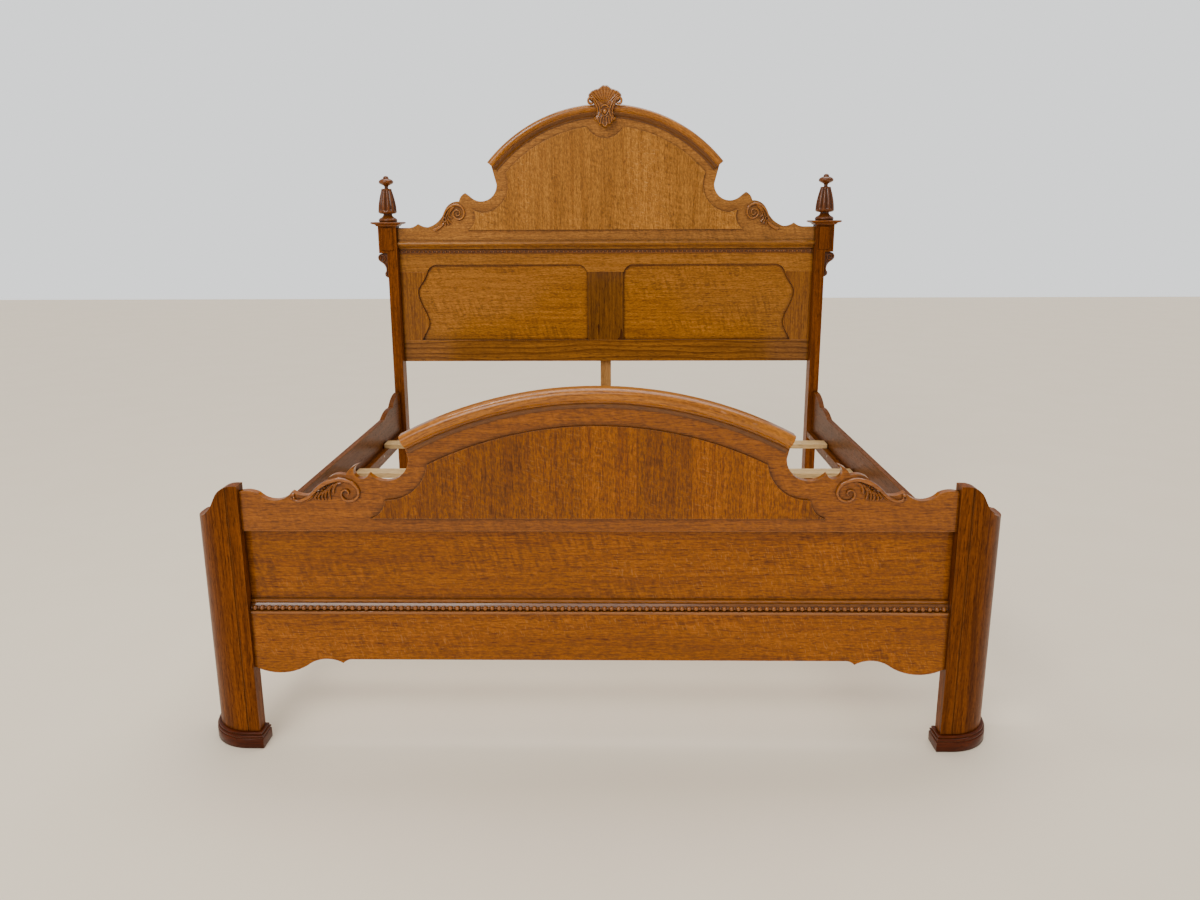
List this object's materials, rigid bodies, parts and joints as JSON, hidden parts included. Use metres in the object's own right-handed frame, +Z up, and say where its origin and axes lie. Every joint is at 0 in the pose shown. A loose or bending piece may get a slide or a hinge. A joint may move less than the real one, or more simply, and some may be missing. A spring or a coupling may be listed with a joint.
{
  "type": "sleigh bed",
  "caption": "Carved oak bed for a king mattress: arched, scalloped headboard with turned finials and shell, lower arched footboard with quarter-round posts, hook-on rails, loose slats.",
  "frame": {"origin": "on the floor, at the middle of the bed's outline", "axes": "+X to the right seen from the foot end, +Y towards the headboard, +Z up"},
  "size_m": [2.194, 2.238, 2.005],
  "materials": {
    "oak": "gloss lacquer",
    "oak_veneer": "gloss lacquer, ray-fleck figure",
    "oak_carved": "gloss lacquer, darker in the recesses",
    "oak_dark": "gloss lacquer",
    "pine": "sawn and planed",
    "glide_plastic": "matt",
    "zinc_steel": "zinc plated"
  },
  "bodies": {
    "bed_frame": {"centre_leg_bolts": "zinc_steel", "corbel_left": "oak_carved", "corbel_right": "oak_carved", "finial_left": "oak_carved", "finial_right": "oak_carved", "foot_plinth_left": "oak_dark", "foot_plinth_right": "oak_dark", "footboard_arch_moulding": "oak", "footboard_arch_panel": "oak_veneer", "footboard_bead_rail": "oak_carved", "footboard_crest_board": "oak", "footboard_middle_panel": "oak_veneer", "footboard_post_left": "oak", "footboard_post_right": "oak", "footboard_scroll_left": "oak_carved", "footboard_scroll_right": "oak_carved", "footboard_skirt": "oak", "headboard_arch_moulding": "oak", "headboard_back_rail": "oak", "headboard_bead_strip": "oak_carved", "headboard_bottom_rail": "oak", "headboard_centre_leg": "pine", "headboard_centre_stile": "oak", "headboard_cornice": "oak", "headboard_crest_board": "oak", "headboard_crest_panel": "oak_veneer", "headboard_glides": "glide_plastic", "headboard_lower_panel_left": "oak_veneer", "headboard_lower_panel_right": "oak_veneer", "headboard_post_left": "oak", "headboard_post_right": "oak", "headboard_scroll_left": "oak_carved", "headboard_scroll_right": "oak_carved", "headboard_stile_left": "oak", "headboard_stile_right": "oak", "headboard_top_rail": "oak", "ledger_screws": "zinc_steel", "post_cap_left": "oak", "post_cap_right": "oak", "post_cheek_left": "oak", "post_cheek_right": "oak", "post_pins": "zinc_steel", "post_plaques": "oak_carved", "rail_hook_plates": "zinc_steel", "shell_carving": "oak_carved", "side_rail_left": "oak", "side_rail_right": "oak", "slat_ledger_left": "pine", "slat_ledger_right": "pine"},
    "slat_1": {"slat_1": "pine"},
    "slat_2": {"slat_2": "pine", "support_leg_2": "pine", "leg_glide_2": "glide_plastic"},
    "slat_3": {"slat_3": "pine", "support_leg_3": "pine", "leg_glide_3": "glide_plastic"},
    "slat_4": {"slat_4": "pine"}
  },
  "joints": [
    {"name": "slat_1_lift", "type": "slide", "parent": "bed_frame", "child": "slat_1", "axis": [0, 0, 1], "range_m": [0, 0.3]},
    {"name": "slat_2_lift", "type": "slide", "parent": "bed_frame", "child": "slat_2", "axis": [0, 0, 1], "range_m": [0, 0.3]},
    {"name": "slat_3_lift", "type": "slide", "parent": "bed_frame", "child": "slat_3", "axis": [0, 0, 1], "range_m": [0, 0.3]},
    {"name": "slat_4_lift", "type": "slide", "parent": "bed_frame", "child": "slat_4", "axis": [0, 0, 1], "range_m": [0, 0.3]}
  ]
}
